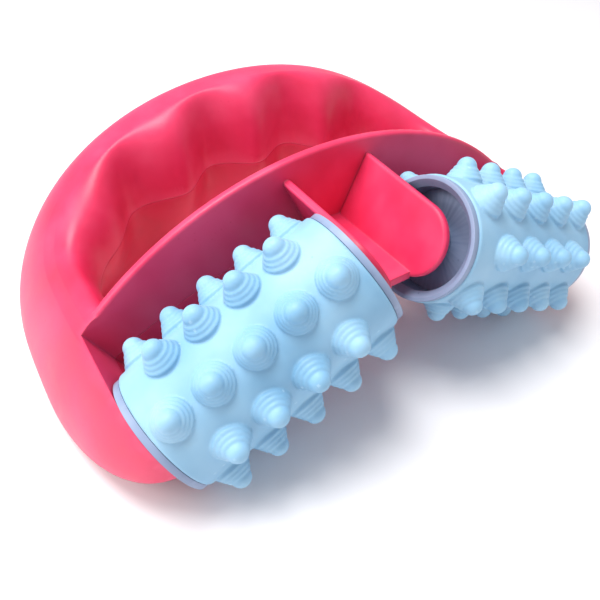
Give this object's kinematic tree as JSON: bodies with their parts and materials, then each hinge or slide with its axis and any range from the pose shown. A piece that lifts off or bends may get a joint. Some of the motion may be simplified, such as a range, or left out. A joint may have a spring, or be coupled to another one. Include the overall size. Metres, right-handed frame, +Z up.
{
  "type": "hand-held roller massager",
  "caption": "Bowed D-shaped grip with finger grooves carrying spiked massage rollers set in a shallow V on fixed axles.",
  "frame": {"origin": "middle of the object's box, on the plane that it rests on", "axes": "+X along the width, +Y from the rollers to the palm grip, +Z up"},
  "size_m": [0.1796, 0.1258, 0.0638],
  "materials": {
    "pink_plastic": "satin injection-moulded",
    "blue_rubber": "soft matt elastomer",
    "grey_core_plastic": "satin moulded",
    "hub_plastic": "satin moulded",
    "washer_plastic": "smooth",
    "seat_plastic": "smooth",
    "axle_steel": "ground",
    "screw_steel": "zinc plated"
  },
  "bodies": {
    "frame": {"upper_shell": "pink_plastic", "lower_shell": "pink_plastic", "shell_screws": "screw_steel", "left_axle": "axle_steel", "right_axle": "axle_steel", "left_inner_washer": "washer_plastic", "left_inner_axle_seat": "seat_plastic", "left_outer_washer": "washer_plastic", "left_outer_axle_seat": "seat_plastic", "right_inner_washer": "washer_plastic", "right_inner_axle_seat": "seat_plastic", "right_outer_washer": "washer_plastic", "right_outer_axle_seat": "seat_plastic"},
    "left_roller": {"left_spiked_sleeve": "blue_rubber", "left_core": "grey_core_plastic", "left_inner_hub": "hub_plastic", "left_outer_hub": "hub_plastic"},
    "right_roller": {"right_spiked_sleeve": "blue_rubber", "right_core": "grey_core_plastic", "right_inner_hub": "hub_plastic", "right_outer_hub": "hub_plastic"}
  },
  "joints": [
    {"name": "left_roller_spin", "type": "hinge", "parent": "frame", "child": "left_roller", "pos_m": [-0.0121, -0.03963, 0.045], "axis": [-0.9026, 0, -0.4305], "continuous": true},
    {"name": "right_roller_spin", "type": "hinge", "parent": "frame", "child": "right_roller", "pos_m": [0.0121, -0.03963, 0.045], "axis": [0.9026, 0, -0.4305], "continuous": true}
  ]
}
